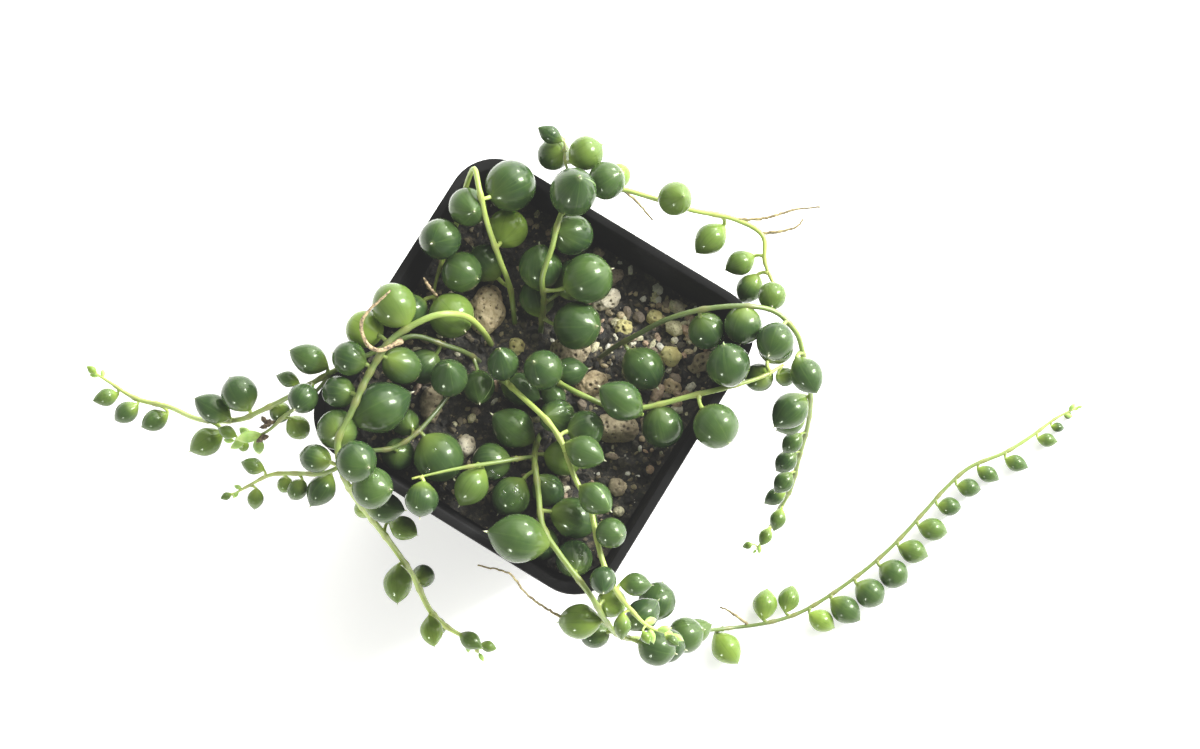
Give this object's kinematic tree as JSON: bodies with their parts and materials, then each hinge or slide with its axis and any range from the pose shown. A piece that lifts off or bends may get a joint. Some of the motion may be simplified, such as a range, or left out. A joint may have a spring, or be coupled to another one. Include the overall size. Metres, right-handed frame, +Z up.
{
  "type": "potted trailing succulent",
  "caption": "Small square pot of gritty soil with long thin stems of round pointed leaves that arch and trail over the rim.",
  "frame": {"origin": "middle of the pot's flat underside", "axes": "+Z up out of the pot; +X and +Y out through two neighbouring sides, the long stem trails towards +X"},
  "size_m": [0.1777, 0.1142, 0.0787],
  "materials": {
    "pot_plastic": "thin moulded charcoal black plastic, soft sheen, fine scuffs",
    "potting_soil": "dark moist peat and bark crumbs with grit",
    "pumice": "rough pitted tan pumice",
    "pale_grit": "rough off-white pumice and perlite",
    "pearl_leaf": "waxy green skin, soft highlights, translucent flesh",
    "stem": "smooth pale yellow-green stem",
    "dry_root": "thin dry tan root and withered leaf",
    "water": "small clear drops of water"
  },
  "bodies": {
    "root": {"pot": "pot_plastic", "soil": "potting_soil", "stone_01": "pumice", "stone_02": "pumice", "stone_03": "pale_grit", "stone_04": "pumice", "stone_05": "pumice", "stone_06": "pumice", "stone_07": "pumice", "stone_08": "pumice", "stone_09": "pumice", "stone_10": "pale_grit", "stone_11": "pale_grit", "stone_12": "pumice", "stone_13": "pale_grit", "stone_14": "pumice", "stone_15": "pale_grit", "stone_16": "pumice", "strand_top_left": "pearl_leaf", "strand_top": "pearl_leaf", "strand_right_loop": "pearl_leaf", "strand_right_low": "pearl_leaf", "strand_left_arch": "pearl_leaf", "strand_left_low": "pearl_leaf", "strand_mid_left": "pearl_leaf", "strand_front": "pearl_leaf", "strand_long": "pearl_leaf"}
  },
  "joints": []
}
